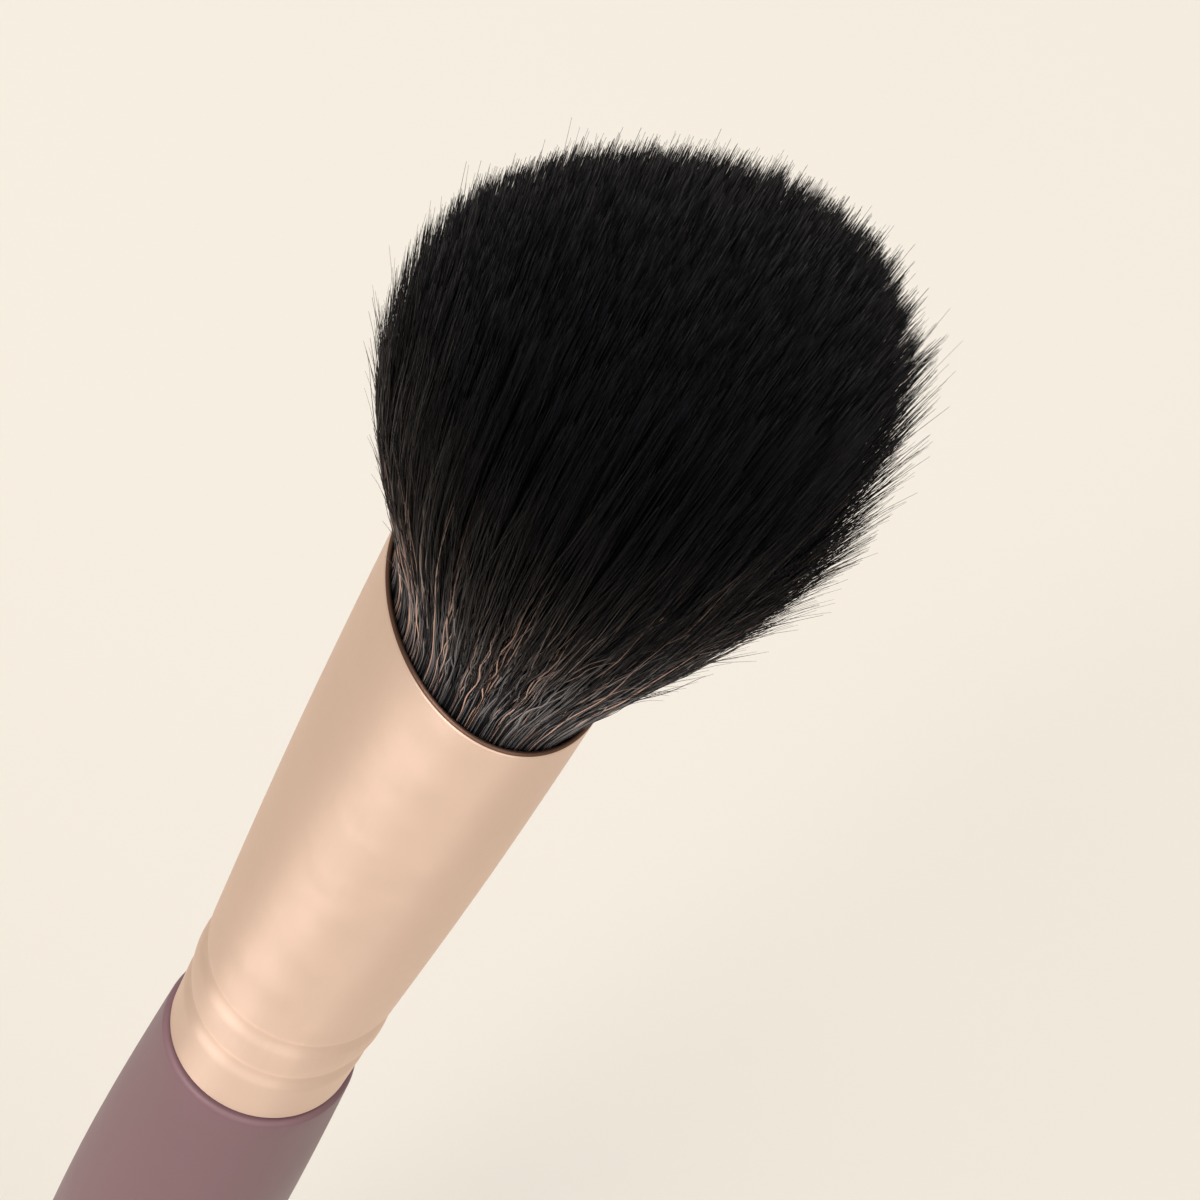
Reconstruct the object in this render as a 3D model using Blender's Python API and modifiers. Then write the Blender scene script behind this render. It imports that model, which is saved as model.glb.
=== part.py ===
"""Blush brush with an oval ferrule and a slanted head, standing upright on its butt end.

Metres, +Z along the brush towards the hair. The origin is the centre of the flat butt face.
X is the long axis of the ferrule's oval mouth, and the hair is longer on the +X side.
Run with: blender --background --python part.py
"""
import math
import random

import bmesh
import bpy

# Clearance that every seated piece keeps to its neighbour
JOINT_GAP = 0.0003

# Handle, turned in wood, measured up from the butt face
HANDLE_LENGTH = 0.0860
HANDLE_NECK_RADIUS = 0.0063
HANDLE_NECK_ROUNDING = 0.0004
HANDLE_BELLY_RADIUS = 0.0069
HANDLE_BELLY_DROP = 0.0240
HANDLE_END_RADIUS = 0.0046
BUTT_ROUNDING = 0.0012
TENON_LENGTH = 0.0150
TENON_CHAMFER = 0.0008

# Ferrule, a drawn tube: round where it is crimped on the tenon, oval at its mouth
FERRULE_LENGTH = 0.0515
FERRULE_WALL = 0.00045
FERRULE_REAR_RADIUS = 0.00595
FERRULE_BODY_RADIUS = 0.00625
FERRULE_SWELL = 0.0002
FERRULE_REAR_ROUNDING = 0.00018
MOUTH_HALF_WIDTH = 0.0092
MOUTH_HALF_DEPTH = 0.00645
LIP_RADIUS = 0.00027
LIP_BLEND_LENGTH = 0.0010

# Crimp: two pressed grooves with a raised bead between them
CRIMP_ZONE_LENGTH = 0.0112
FIRST_GROOVE_HEIGHT = 0.0052
GROOVE_PITCH = 0.0046
GROOVE_WIDTH = 0.0026
GROOVE_DEPTH = 0.0003
BEAD_WIDTH = 0.0034
BEAD_RISE = 0.0001

# Head of hair, measured up from the ferrule's mouth
HAIR_LENGTH = 0.0388
HEAD_LONG_SIDE_HALF_WIDTH = 0.0158
HEAD_SHORT_SIDE_HALF_WIDTH = 0.0118
HEAD_HALF_DEPTH = 0.0134
CROWN_START_SHARE = 0.65
CROWN_CURVE_SHARE = 2.3
FLARE_CURVE_SHARE = 1.46
SLANT_SHARE = 0.45
LENGTH_SPREAD_SHARE = 0.05

# Strands, thickest part way up and thin at the tip
STRAND_COUNT = 340
STRAND_SIDES = 3
STRAND_ROOT_RADIUS = 0.00021
STRAND_WAIST_RADIUS = 0.00044
STRAND_TIP_RADIUS = 0.00009
STRAND_BEND_SHARE = 0.42
STRAND_SINK = 0.0012

# Bound roots and the resin below them, inside the ferrule
ROOT_SLICE_DEPTH = 0.0034
ROOT_SLICE_THICKNESS = 0.0036
RESIN_PLUG_LENGTH = 0.0160

# Fineness of the turned pieces and of the curves in their outlines
TURN_STEPS = 40
CURVE_STEPS = 6
TAPER_STEPS = 9
CRIMP_STEPS = 16
ROUNDING_STEPS = 3
PLUG_STEPS = 3
SMOOTH_ANGLE = math.radians(40.0)
WELD_DISTANCE = 0.00001
GOLDEN_ANGLE = math.pi * (3.0 - math.sqrt(5.0))
RANDOM_SEED = 11

# Places worked out from the sizes above
FERRULE_REAR = HANDLE_LENGTH + JOINT_GAP
FERRULE_MOUTH = FERRULE_REAR + FERRULE_LENGTH
ROOT_SLICE_TOP = FERRULE_MOUTH - ROOT_SLICE_DEPTH
ROOT_SLICE_BOTTOM = ROOT_SLICE_TOP - ROOT_SLICE_THICKNESS
RESIN_PLUG_TOP = ROOT_SLICE_BOTTOM - JOINT_GAP
RESIN_PLUG_BOTTOM = RESIN_PLUG_TOP - RESIN_PLUG_LENGTH

# Base colour, roughness and metallic value of each piece
FINISHES = {
    "handle": ((0.235, 0.135, 0.142), 0.42, 0.0),
    "ferrule": ((0.86, 0.62, 0.47), 0.30, 1.0),
    "hair_tuft": ((0.010, 0.009, 0.010), 0.45, 0.0),
    "resin_plug": ((0.62, 0.50, 0.30), 0.35, 0.0),
}


def clear_scene():
    for item in list(bpy.data.objects):
        bpy.data.objects.remove(item, do_unlink=True)


def new_collection(name):
    collection = bpy.data.collections.new(name)
    bpy.context.scene.collection.children.link(collection)
    return collection


def make_material(name):
    colour, roughness, metallic = FINISHES[name]
    material = bpy.data.materials.new(name)
    material.use_nodes = True
    shader = material.node_tree.nodes["Principled BSDF"]
    shader.inputs["Base Color"].default_value = (*colour, 1.0)
    shader.inputs["Roughness"].default_value = roughness
    shader.inputs["Metallic"].default_value = metallic
    return material


def add_object(name, mesh, collection):
    item = bpy.data.objects.new(name, mesh)
    collection.objects.link(item)
    return item


def evaluated_mesh(item):
    """The object's mesh with its modifiers applied."""
    bpy.context.view_layer.update()
    graph = bpy.context.evaluated_depsgraph_get()
    return bpy.data.meshes.new_from_object(item.evaluated_get(graph))


def add_turned(name, outline, closed, collection):
    """Turn an outline of (radius, height) points, run down its outer side, about Z."""
    mesh = bpy.data.meshes.new(name)
    last = len(outline) - 1
    edges = [(i, i + 1) for i in range(last)]
    if closed:
        edges.append((last, 0))
    mesh.from_pydata([(radius, 0.0, height) for radius, height in outline], edges, [])
    item = add_object(name, mesh, collection)
    screw = item.modifiers.new("turn", "SCREW")
    screw.steps = TURN_STEPS
    screw.render_steps = TURN_STEPS
    screw.use_merge_vertices = True
    screw.merge_threshold = WELD_DISTANCE
    return item


def spread(count):
    """Even shares from 0 to 1."""
    return [i / count for i in range(count + 1)]


def hump(offset, width):
    """A smooth rise from 0 to 1 and back over the width."""
    if abs(offset) >= width / 2:
        return 0.0
    return math.cos(math.pi * offset / width) ** 2


def crimp_relief(height):
    """How far the crimped wall stands out of the plain tube, at a height above its rear edge."""
    second_groove = FIRST_GROOVE_HEIGHT + GROOVE_PITCH
    bead = FIRST_GROOVE_HEIGHT + GROOVE_PITCH / 2
    grooves = hump(height - FIRST_GROOVE_HEIGHT, GROOVE_WIDTH) + hump(height - second_groove, GROOVE_WIDTH)
    return BEAD_RISE * hump(height - bead, BEAD_WIDTH) - GROOVE_DEPTH * grooves


def way_to_mouth(height):
    """Share of the oval stretch that lies below this height above the rear edge."""
    return max(0.0, height - CRIMP_ZONE_LENGTH) / (FERRULE_LENGTH - CRIMP_ZONE_LENGTH)


def ferrule_half_size(height, mouth_half_size):
    """Outer half size of the tube along one axis of its oval, above its rear edge."""
    if height < CRIMP_ZONE_LENGTH:
        rise = FERRULE_BODY_RADIUS - FERRULE_REAR_RADIUS
        return FERRULE_REAR_RADIUS + rise * height / CRIMP_ZONE_LENGTH + crimp_relief(height)
    way = way_to_mouth(height)
    swell = FERRULE_SWELL * math.sin(math.pi * way)
    return FERRULE_BODY_RADIUS + (mouth_half_size - FERRULE_BODY_RADIUS) * way + swell


def half_width(height):
    return ferrule_half_size(height, MOUTH_HALF_WIDTH)


def half_depth(height):
    return ferrule_half_size(height, MOUTH_HALF_DEPTH)


def press_oval(mesh):
    """Press a turned mesh to the ferrule's oval: each wall keeps its inset from the tube."""
    for vertex in mesh.vertices:
        height = vertex.co.z - FERRULE_REAR
        radius = math.hypot(vertex.co.x, vertex.co.y)
        if radius > WELD_DISTANCE:
            inset = half_width(height) - radius
            vertex.co.y *= (half_depth(height) - inset) / radius


def add_pressed(name, outline, closed, collection):
    turned = add_turned(name + "_turned", outline, closed, collection)
    mesh = evaluated_mesh(turned)
    bpy.data.objects.remove(turned, do_unlink=True)
    press_oval(mesh)
    mesh.name = name
    return add_object(name, mesh, collection)


def tenon_radius(level):
    """Round tenon inside the ferrule, drawn in where the crimp presses on it."""
    height = level - FERRULE_REAR
    return min(half_width(height), half_depth(height)) - FERRULE_WALL - JOINT_GAP


def handle_outline():
    """Tenon, shoulder, belly, taper and rounded butt, from the top down to the butt face."""
    tenon_top = HANDLE_LENGTH + TENON_LENGTH
    tenon_side_top = tenon_top - TENON_CHAMFER
    points = [(0.0, tenon_top), (tenon_radius(tenon_side_top) - TENON_CHAMFER, tenon_top)]
    for share in spread(CRIMP_STEPS):
        level = tenon_side_top + (HANDLE_LENGTH - tenon_side_top) * share
        points.append((tenon_radius(level), level))
    for share in spread(ROUNDING_STEPS):
        turn = math.pi / 2 * share
        inset = HANDLE_NECK_ROUNDING * (1.0 - math.sin(turn))
        drop = HANDLE_NECK_ROUNDING * (1.0 - math.cos(turn))
        points.append((HANDLE_NECK_RADIUS - inset, HANDLE_LENGTH - drop))
    belly_rise = HANDLE_BELLY_RADIUS - HANDLE_NECK_RADIUS
    belly_height = HANDLE_LENGTH - HANDLE_BELLY_DROP
    neck_height = HANDLE_LENGTH - HANDLE_NECK_ROUNDING
    for share in spread(CURVE_STEPS)[1:]:
        radius = HANDLE_NECK_RADIUS + belly_rise * math.sin(math.pi / 2 * share)
        points.append((radius, neck_height + (belly_height - neck_height) * share))
    taper = HANDLE_BELLY_RADIUS - HANDLE_END_RADIUS
    for share in spread(TAPER_STEPS)[1:]:
        radius = HANDLE_END_RADIUS + taper * (1.0 + math.cos(math.pi * share)) / 2
        points.append((radius, belly_height - (belly_height - BUTT_ROUNDING) * share))
    for share in spread(ROUNDING_STEPS)[1:]:
        turn = math.pi / 2 * share
        inset = BUTT_ROUNDING * (1.0 - math.cos(turn))
        points.append((HANDLE_END_RADIUS - inset, BUTT_ROUNDING * (1.0 - math.sin(turn))))
    points.append((0.0, 0.0))
    return points


def ferrule_heights():
    """Heights of the outline's points above the rear edge: close in the crimp, wide above it."""
    crimp = [CRIMP_ZONE_LENGTH * share for share in spread(CRIMP_STEPS)][1:]
    top = FERRULE_LENGTH - LIP_RADIUS - LIP_BLEND_LENGTH
    body = [CRIMP_ZONE_LENGTH + (top - CRIMP_ZONE_LENGTH) * share for share in spread(CURVE_STEPS)][1:]
    return crimp + body


def ferrule_outline():
    """Closed outline of the wall: lip, outer side down, rear edge, inner side up."""
    lip_height = FERRULE_LENGTH - LIP_RADIUS
    lip_centre = half_width(lip_height) - LIP_RADIUS
    points = []
    for share in spread(2 * ROUNDING_STEPS):
        turn = math.pi * (1.0 - share)
        radius = lip_centre + LIP_RADIUS * math.cos(turn)
        points.append((radius, lip_height + LIP_RADIUS * math.sin(turn)))
    for height in reversed(ferrule_heights()):
        points.append((half_width(height), height))
    rear = half_width(0.0)
    points.append((rear, FERRULE_REAR_ROUNDING))
    points.append((rear - FERRULE_REAR_ROUNDING, 0.0))
    points.append((rear - FERRULE_WALL, 0.0))
    for height in ferrule_heights():
        points.append((half_width(height) - FERRULE_WALL, height))
    return [(radius, height + FERRULE_REAR) for radius, height in points]


def block_outline(bottom, top, steps):
    """A solid block that fills the ferrule's bore from bottom to top, but for the joint gap."""
    points = [(0.0, top)]
    for share in spread(steps):
        level = top + (bottom - top) * share
        points.append((half_width(level - FERRULE_REAR) - FERRULE_WALL - JOINT_GAP, level))
    points.append((0.0, bottom))
    return points


def bundle_half_sizes(height):
    """Half width and half depth that the bundle's strand axes fill below the mouth."""
    inset = 2 * LIP_RADIUS + JOINT_GAP + STRAND_ROOT_RADIUS
    return half_width(height) - inset, half_depth(height) - inset


def strand_place(reach, bearing, share):
    """A point of the strand that starts at a bearing and reach in the oval, at a share of the head.

    Strands never cross: at any share the whole section only stretches, from the mouth's oval
    to the head's, and the slant lifts it in proportion.
    """
    mouth_x, mouth_y = bundle_half_sizes(FERRULE_LENGTH)
    side = HEAD_LONG_SIDE_HALF_WIDTH if math.cos(bearing) > 0.0 else HEAD_SHORT_SIDE_HALF_WIDTH
    flare = math.sin(math.pi / 2 * min(1.0, share / CROWN_START_SHARE)) ** FLARE_CURVE_SHARE
    x = reach * math.cos(bearing) * (mouth_x + (side - mouth_x) * flare)
    y = reach * math.sin(bearing) * (mouth_y + (HEAD_HALF_DEPTH - mouth_y) * flare)
    return x, y, FERRULE_MOUTH + share * (HAIR_LENGTH + SLANT_SHARE * x)


def strand_end_share(reach):
    """Share of the head at which a strand meets the rounded crown."""
    rise = (1.0 - reach ** CROWN_CURVE_SHARE) ** (1.0 / CROWN_CURVE_SHARE)
    return CROWN_START_SHARE + (1.0 - CROWN_START_SHARE) * rise


def strand_stations(index, shuffle):
    """Points and radii of one strand, from its root in the slice to its tip."""
    reach = math.sqrt((index + 0.5) / STRAND_COUNT)
    bearing = index * GOLDEN_ANGLE
    end = strand_end_share(reach) * (1.0 - LENGTH_SPREAD_SHARE * shuffle.random())
    root_x, root_y = bundle_half_sizes(FERRULE_LENGTH - ROOT_SLICE_DEPTH - STRAND_SINK)
    root = (
        reach * math.cos(bearing) * root_x,
        reach * math.sin(bearing) * root_y,
        ROOT_SLICE_TOP - STRAND_SINK,
    )
    return [
        (root, STRAND_ROOT_RADIUS),
        (strand_place(reach, bearing, 0.0), STRAND_ROOT_RADIUS),
        (strand_place(reach, bearing, STRAND_BEND_SHARE), STRAND_WAIST_RADIUS),
        (strand_place(reach, bearing, end), STRAND_TIP_RADIUS),
    ]


def add_section(collection):
    """Section of unit radius that the strands are swept with."""
    curve = bpy.data.curves.new("strand_section", "CURVE")
    curve.dimensions = "2D"
    spline = curve.splines.new("POLY")
    spline.points.add(STRAND_SIDES - 1)
    spline.use_cyclic_u = True
    for corner, point in enumerate(spline.points):
        turn = 2 * math.pi * corner / STRAND_SIDES
        point.co = (math.cos(turn), math.sin(turn), 0.0, 1.0)
    return add_object("strand_section", curve, collection)


def add_strands(collection):
    """All strands as one mesh of separate closed bodies."""
    section = add_section(collection)
    curve = bpy.data.curves.new("strand_paths", "CURVE")
    curve.dimensions = "3D"
    curve.bevel_mode = "OBJECT"
    curve.bevel_object = section
    curve.use_fill_caps = True
    shuffle = random.Random(RANDOM_SEED)
    for index in range(STRAND_COUNT):
        stations = strand_stations(index, shuffle)
        tilt = 2 * math.pi * shuffle.random()
        spline = curve.splines.new("POLY")
        spline.points.add(len(stations) - 1)
        for point, (place, radius) in zip(spline.points, stations):
            point.co = (*place, 1.0)
            point.radius = radius
            point.tilt = tilt
    paths = add_object("strand_paths", curve, collection)
    mesh = evaluated_mesh(paths)
    work = bmesh.new()
    work.from_mesh(mesh)
    bmesh.ops.remove_doubles(work, verts=work.verts, dist=WELD_DISTANCE)
    bmesh.ops.recalc_face_normals(work, faces=work.faces)
    work.to_mesh(mesh)
    work.free()
    strands = add_object("strands", mesh, collection)
    strands.matrix_world = paths.matrix_world
    bpy.data.objects.remove(paths, do_unlink=True)
    bpy.data.objects.remove(section, do_unlink=True)
    return strands


def finish_piece(item):
    item.data.materials.clear()
    item.data.materials.append(make_material(item.name))
    if item.data.polygons:
        item.data.shade_smooth()
        item.data.set_sharp_from_angle(angle=SMOOTH_ANGLE)


def build_handle(parts):
    return add_turned("handle", handle_outline(), False, parts)


def build_ferrule(parts):
    return add_pressed("ferrule", ferrule_outline(), True, parts)


def build_resin_plug(parts):
    outline = block_outline(RESIN_PLUG_BOTTOM, RESIN_PLUG_TOP, PLUG_STEPS)
    return add_pressed("resin_plug", outline, False, parts)


def build_hair_tuft(parts, guides):
    """The slice of bound roots with the strands united to it."""
    outline = block_outline(ROOT_SLICE_BOTTOM, ROOT_SLICE_TOP, 1)
    tuft = add_pressed("hair_tuft", outline, False, parts)
    strands = add_strands(guides)
    strands.hide_render = True
    strands.display_type = "WIRE"
    union = tuft.modifiers.new("strands", "BOOLEAN")
    union.operation = "UNION"
    union.solver = "EXACT"
    union.object = strands
    return tuft


def main():
    clear_scene()
    parts = new_collection("blush_brush")
    guides = new_collection("guides")
    finish_piece(build_handle(parts))
    finish_piece(build_ferrule(parts))
    finish_piece(build_resin_plug(parts))
    finish_piece(build_hair_tuft(parts, guides))


main()
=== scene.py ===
"""Looks of a blush brush that stands upright on its butt end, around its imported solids.

Metres, +Z along the brush towards the hair, X along the long axis of the ferrule's oval mouth.
"""

import math

import bmesh
import bpy
import numpy as np
from mathutils import Euler, Matrix, Vector
from mathutils.kdtree import KDTree


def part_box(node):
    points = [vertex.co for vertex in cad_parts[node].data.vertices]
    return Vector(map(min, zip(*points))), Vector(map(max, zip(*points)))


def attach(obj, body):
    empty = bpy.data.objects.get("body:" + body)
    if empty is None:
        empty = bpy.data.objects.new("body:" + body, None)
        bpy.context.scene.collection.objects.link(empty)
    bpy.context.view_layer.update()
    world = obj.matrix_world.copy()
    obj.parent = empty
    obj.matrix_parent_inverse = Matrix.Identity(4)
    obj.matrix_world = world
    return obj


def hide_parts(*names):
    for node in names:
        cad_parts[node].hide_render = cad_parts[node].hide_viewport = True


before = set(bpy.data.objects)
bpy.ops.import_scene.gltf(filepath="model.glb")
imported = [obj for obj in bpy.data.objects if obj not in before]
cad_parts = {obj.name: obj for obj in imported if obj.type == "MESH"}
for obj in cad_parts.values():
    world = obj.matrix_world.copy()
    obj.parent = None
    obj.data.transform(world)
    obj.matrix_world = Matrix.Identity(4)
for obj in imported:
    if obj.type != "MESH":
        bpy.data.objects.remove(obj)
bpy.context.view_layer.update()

BODY = "root"
MM = 0.001

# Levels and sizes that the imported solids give
BUTT_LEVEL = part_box("handle")[0].z
FERRULE_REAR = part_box("ferrule")[0].z
FERRULE_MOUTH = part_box("ferrule")[1].z
FERRULE_LENGTH = FERRULE_MOUTH - FERRULE_REAR
ROOTS_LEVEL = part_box("hair_tuft")[0].z

# Handle, turned in wood under a lacquer
JOINT_GAP = 0.3 * MM
SHOULDER_LEVEL = FERRULE_REAR - JOINT_GAP
HANDLE_NECK_RADIUS = 6.3 * MM
HANDLE_NECK_ROUNDING = 0.4 * MM
HANDLE_BELLY_RADIUS = 6.9 * MM
HANDLE_BELLY_DROP = 24.0 * MM
HANDLE_END_RADIUS = 4.6 * MM
BUTT_ROUNDING = 1.2 * MM
TENON_LENGTH = 15.0 * MM
TENON_CHAMFER = 0.8 * MM

# Ferrule, a drawn tube, crimped near its rear edge and pressed oval at its mouth
FERRULE_WALL = 0.45 * MM
FERRULE_REAR_RADIUS = 5.95 * MM
FERRULE_BODY_RADIUS = 6.25 * MM
FERRULE_SWELL = 0.2 * MM
FERRULE_REAR_ROUNDING = 0.18 * MM
MOUTH_HALF_WIDTH = 9.2 * MM
MOUTH_HALF_DEPTH = 6.45 * MM
LIP_RADIUS = 0.15 * MM
LIP_CREASE_DEPTH = 0.05 * MM
LIP_CREASE_WIDTH = 0.24 * MM
LIP_SHADE_HEIGHT = 0.24 * MM
CRIMP_ZONE_LENGTH = 11.2 * MM
FIRST_GROOVE_HEIGHT = 5.2 * MM
GROOVE_PITCH = 4.6 * MM
GROOVE_WIDTH = 2.6 * MM
GROOVE_DEPTH = 0.3 * MM
BEAD_WIDTH = 3.4 * MM
BEAD_RISE = 0.1 * MM

# Slice of bound roots, this far below the mouth
ROOT_SLICE_DEPTH = 3.4 * MM

# Steps along the outlines of the turned pieces and round them
TENON_STEPS = 48
NECK_STEPS = 6
BELLY_STEPS = 16
TAPER_STEPS = 36
BUTT_STEPS = 10
LIP_STEPS = 14
CREASE_STEPS = 8
CRIMP_STEPS = 56
TUBE_STEPS = 20
REAR_EDGE_STEPS = 5
ROOT_SLICE_STEPS = 4
TURN_STEPS = 144

FULL_TURN = 2 * math.pi
QUARTER_TURN = math.pi / 2
GOLDEN_ANGLE = math.pi * (3.0 - math.sqrt(5.0))
SHARP_ANGLE = math.radians(50.0)
WELD_DISTANCE = 0.001 * MM

# Camera, from the photograph: the view looks down on the head, which leans to the upper right
IMAGE_SIDE = 1200.0
SENSOR_WIDTH = 36.0
FOCAL_PIXELS = 5000.0
VIEW_AZIMUTH = math.radians(54.5)
VIEW_ELEVATION = math.radians(53.0)
VIEW_ROLL = math.radians(30.65)
MOUTH_DISTANCE = 272.15 * MM
MOUTH_PIXEL = (501.5, 608.5)

# Directions across the mouth: towards the camera, and to the left and the right of the photograph
NEAR_SIDE = np.array([math.sin(VIEW_AZIMUTH), -math.cos(VIEW_AZIMUTH)])
LEFT_SIDE = np.array([-math.cos(VIEW_AZIMUTH), -math.sin(VIEW_AZIMUTH)])
RIGHT_SIDE = np.array([0.58, 0.81])


def evenly(count):
    """Even shares from 0 to 1."""
    return [i / count for i in range(count + 1)]


# Outline of the ferrule, shared by every piece that fits in it

def hump(offset, width):
    """A smooth rise from 0 to 1 and back over the width."""
    if abs(offset) >= width / 2:
        return 0.0
    return math.cos(math.pi * offset / width) ** 2


def crimp_relief(height):
    second_groove = FIRST_GROOVE_HEIGHT + GROOVE_PITCH
    bead = FIRST_GROOVE_HEIGHT + GROOVE_PITCH / 2
    grooves = hump(height - FIRST_GROOVE_HEIGHT, GROOVE_WIDTH) + hump(height - second_groove, GROOVE_WIDTH)
    return BEAD_RISE * hump(height - bead, BEAD_WIDTH) - GROOVE_DEPTH * grooves


def ferrule_half_size(height, mouth_half_size):
    """Outer half size of the tube along one axis of its oval, above its rear edge."""
    if height < CRIMP_ZONE_LENGTH:
        rise = FERRULE_BODY_RADIUS - FERRULE_REAR_RADIUS
        return FERRULE_REAR_RADIUS + rise * height / CRIMP_ZONE_LENGTH + crimp_relief(height)
    way = (height - CRIMP_ZONE_LENGTH) / (FERRULE_LENGTH - CRIMP_ZONE_LENGTH)
    swell = FERRULE_SWELL * math.sin(math.pi * way)
    return FERRULE_BODY_RADIUS + (mouth_half_size - FERRULE_BODY_RADIUS) * way + swell


def half_width(height):
    return ferrule_half_size(height, MOUTH_HALF_WIDTH)


def half_depth(height):
    return ferrule_half_size(height, MOUTH_HALF_DEPTH)


# Turned pieces

def turned(outline, closed):
    """A bmesh turned about Z from an outline of (radius, height) points."""
    work = bmesh.new()
    points = [work.verts.new((radius, 0.0, height)) for radius, height in outline]
    pairs = list(zip(points, points[1:]))
    if closed:
        pairs.append((points[-1], points[0]))
    edges = [work.edges.new(pair) for pair in pairs]
    bmesh.ops.spin(work, geom=points + edges, cent=(0, 0, 0), axis=(0, 0, 1), dvec=(0, 0, 0),
                   angle=FULL_TURN, steps=TURN_STEPS, use_merge=True, use_duplicate=False)
    bmesh.ops.remove_doubles(work, verts=work.verts, dist=WELD_DISTANCE)
    bmesh.ops.recalc_face_normals(work, faces=work.faces)
    return work


def press_oval(work):
    """Press a turned bmesh to the ferrule's oval: each wall keeps its inset from the tube."""
    for vertex in work.verts:
        height = vertex.co.z - FERRULE_REAR
        radius = math.hypot(vertex.co.x, vertex.co.y)
        if radius > WELD_DISTANCE:
            inset = half_width(height) - radius
            vertex.co.y *= (half_depth(height) - inset) / radius


def finished_mesh(name, work):
    mesh = bpy.data.meshes.new(name)
    work.to_mesh(mesh)
    work.free()
    mesh.shade_smooth()
    mesh.set_sharp_from_angle(angle=SHARP_ANGLE)
    return mesh


def add_piece(name, mesh, material, slot, *nodes):
    """An object of the brush with its material, body and the nodes that it stands for; the slot is not used.
    """
    piece = bpy.data.objects.new(name, mesh)
    bpy.context.scene.collection.objects.link(piece)
    mesh.materials.append(material)
    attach(piece, BODY)
    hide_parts(*nodes)


def quarter_round(radius, steps):
    """Points of a quarter round: how far each is past the line that it leaves and short of the next one."""
    turns = [QUARTER_TURN * share for share in evenly(steps)]
    return [(radius * (1.0 - math.cos(turn)), radius * (1.0 - math.sin(turn))) for turn in turns]


def tenon_radius(level):
    height = level - FERRULE_REAR
    return min(half_width(height), half_depth(height)) - FERRULE_WALL - JOINT_GAP


def handle_outline():
    """Tenon, shoulder, belly, taper and rounded butt, from the top down."""
    tenon_top = SHOULDER_LEVEL + TENON_LENGTH
    tenon_side_top = tenon_top - TENON_CHAMFER
    points = [(0.0, tenon_top), (tenon_radius(tenon_side_top) - TENON_CHAMFER, tenon_top)]
    for share in evenly(TENON_STEPS):
        level = tenon_side_top + (SHOULDER_LEVEL - tenon_side_top) * share
        points.append((tenon_radius(level), level))
    for drop, inset in quarter_round(HANDLE_NECK_ROUNDING, NECK_STEPS):
        points.append((HANDLE_NECK_RADIUS - inset, SHOULDER_LEVEL - drop))
    neck_level = SHOULDER_LEVEL - HANDLE_NECK_ROUNDING
    belly_level = SHOULDER_LEVEL - HANDLE_BELLY_DROP
    for share in evenly(BELLY_STEPS)[1:]:
        rise = (HANDLE_BELLY_RADIUS - HANDLE_NECK_RADIUS) * math.sin(QUARTER_TURN * share)
        points.append((HANDLE_NECK_RADIUS + rise, neck_level + (belly_level - neck_level) * share))
    taper_end = BUTT_LEVEL + BUTT_ROUNDING
    for share in evenly(TAPER_STEPS)[1:]:
        taper = (HANDLE_BELLY_RADIUS - HANDLE_END_RADIUS) * (1.0 + math.cos(math.pi * share)) / 2
        points.append((HANDLE_END_RADIUS + taper, belly_level + (taper_end - belly_level) * share))
    for inset, rise in quarter_round(BUTT_ROUNDING, BUTT_STEPS)[1:]:
        points.append((HANDLE_END_RADIUS - inset, BUTT_LEVEL + rise))
    points.append((0.0, BUTT_LEVEL))
    return points


def ferrule_outline():
    """Closed outline of the wall: lip, outer side down, rear edge, inner side up."""
    lip_height = FERRULE_LENGTH - LIP_RADIUS
    lip_centre = half_width(lip_height) - LIP_RADIUS
    points = []
    for share in evenly(LIP_STEPS):
        turn = math.pi * (1.0 - share)
        points.append((lip_centre + LIP_RADIUS * math.cos(turn), lip_height + LIP_RADIUS * math.sin(turn)))
    crease_low = lip_height - LIP_CREASE_WIDTH
    crease_middle = (lip_height + crease_low) / 2
    for share in evenly(CREASE_STEPS)[1:]:
        height = lip_height - LIP_CREASE_WIDTH * share
        cut = LIP_CREASE_DEPTH * hump(height - crease_middle, LIP_CREASE_WIDTH)
        points.append((half_width(height) - cut, height))
    side_top = crease_low - LIP_CREASE_WIDTH
    side_length = side_top - CRIMP_ZONE_LENGTH
    heights = [CRIMP_ZONE_LENGTH * share for share in evenly(CRIMP_STEPS)][1:]
    heights += [CRIMP_ZONE_LENGTH + side_length * share for share in evenly(TUBE_STEPS)][1:]
    points += [(half_width(height), height) for height in reversed(heights)]
    rear = half_width(0.0)
    for inset, rise in quarter_round(FERRULE_REAR_ROUNDING, REAR_EDGE_STEPS):
        points.append((rear - inset, rise))
    points.append((rear - FERRULE_WALL, 0.0))
    points += [(half_width(height) - FERRULE_WALL, height) for height in heights]
    return [(radius, height + FERRULE_REAR) for radius, height in points]


def root_slice_outline():
    """The bound roots: a block that fills the bore below the mouth."""
    top = FERRULE_MOUTH - ROOT_SLICE_DEPTH
    points = [(0.0, top)]
    for share in evenly(ROOT_SLICE_STEPS):
        level = top + (ROOTS_LEVEL - top) * share
        points.append((half_width(level - FERRULE_REAR) - FERRULE_WALL - JOINT_GAP, level))
    points.append((0.0, ROOTS_LEVEL))
    return points


# Hair. A hair's place is a point of the mouth's unit disc, and its reach is how far out that is.

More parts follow.
